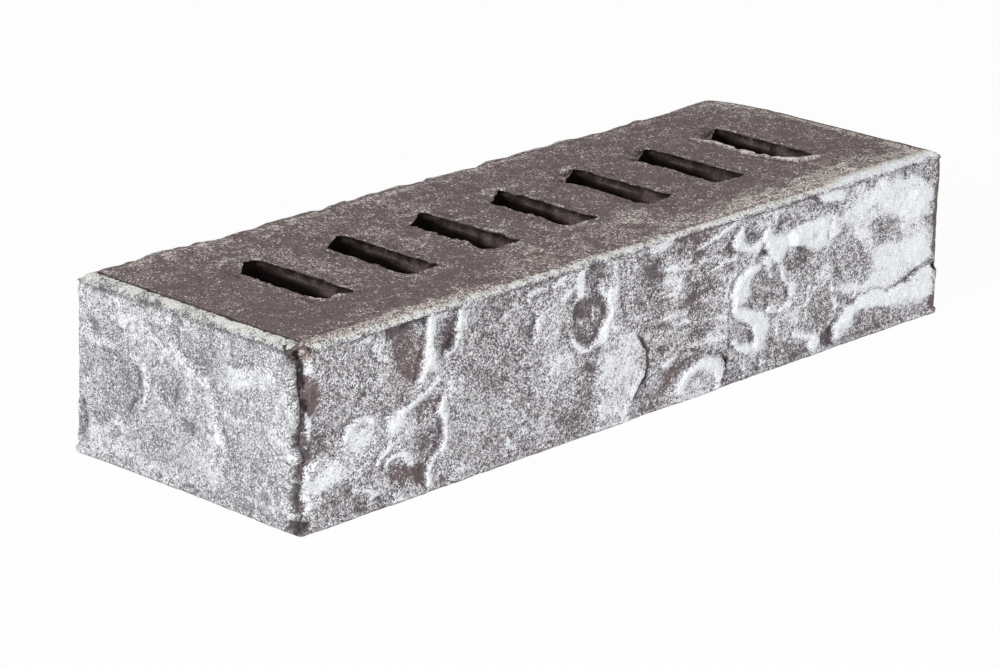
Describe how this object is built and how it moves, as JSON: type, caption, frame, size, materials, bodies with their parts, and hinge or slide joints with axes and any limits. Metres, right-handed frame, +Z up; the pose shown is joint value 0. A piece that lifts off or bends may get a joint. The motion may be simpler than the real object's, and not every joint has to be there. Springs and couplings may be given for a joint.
{
  "type": "clay brick",
  "caption": "Fired clay facing brick with a row of through slots, a rolled arris round the upper bed and set-back sanded faces.",
  "frame": {"origin": "middle of the lower bed, on the surface that the brick stands on", "axes": "+X along the length, +Y across the width, +Z up through the slots to the upper bed"},
  "size_m": [0.25, 0.084, 0.049],
  "materials": {
    "fired_clay": "matte, sanded and unglazed"
  },
  "bodies": {
    "root": {"clay_brick": "fired_clay"}
  },
  "joints": []
}
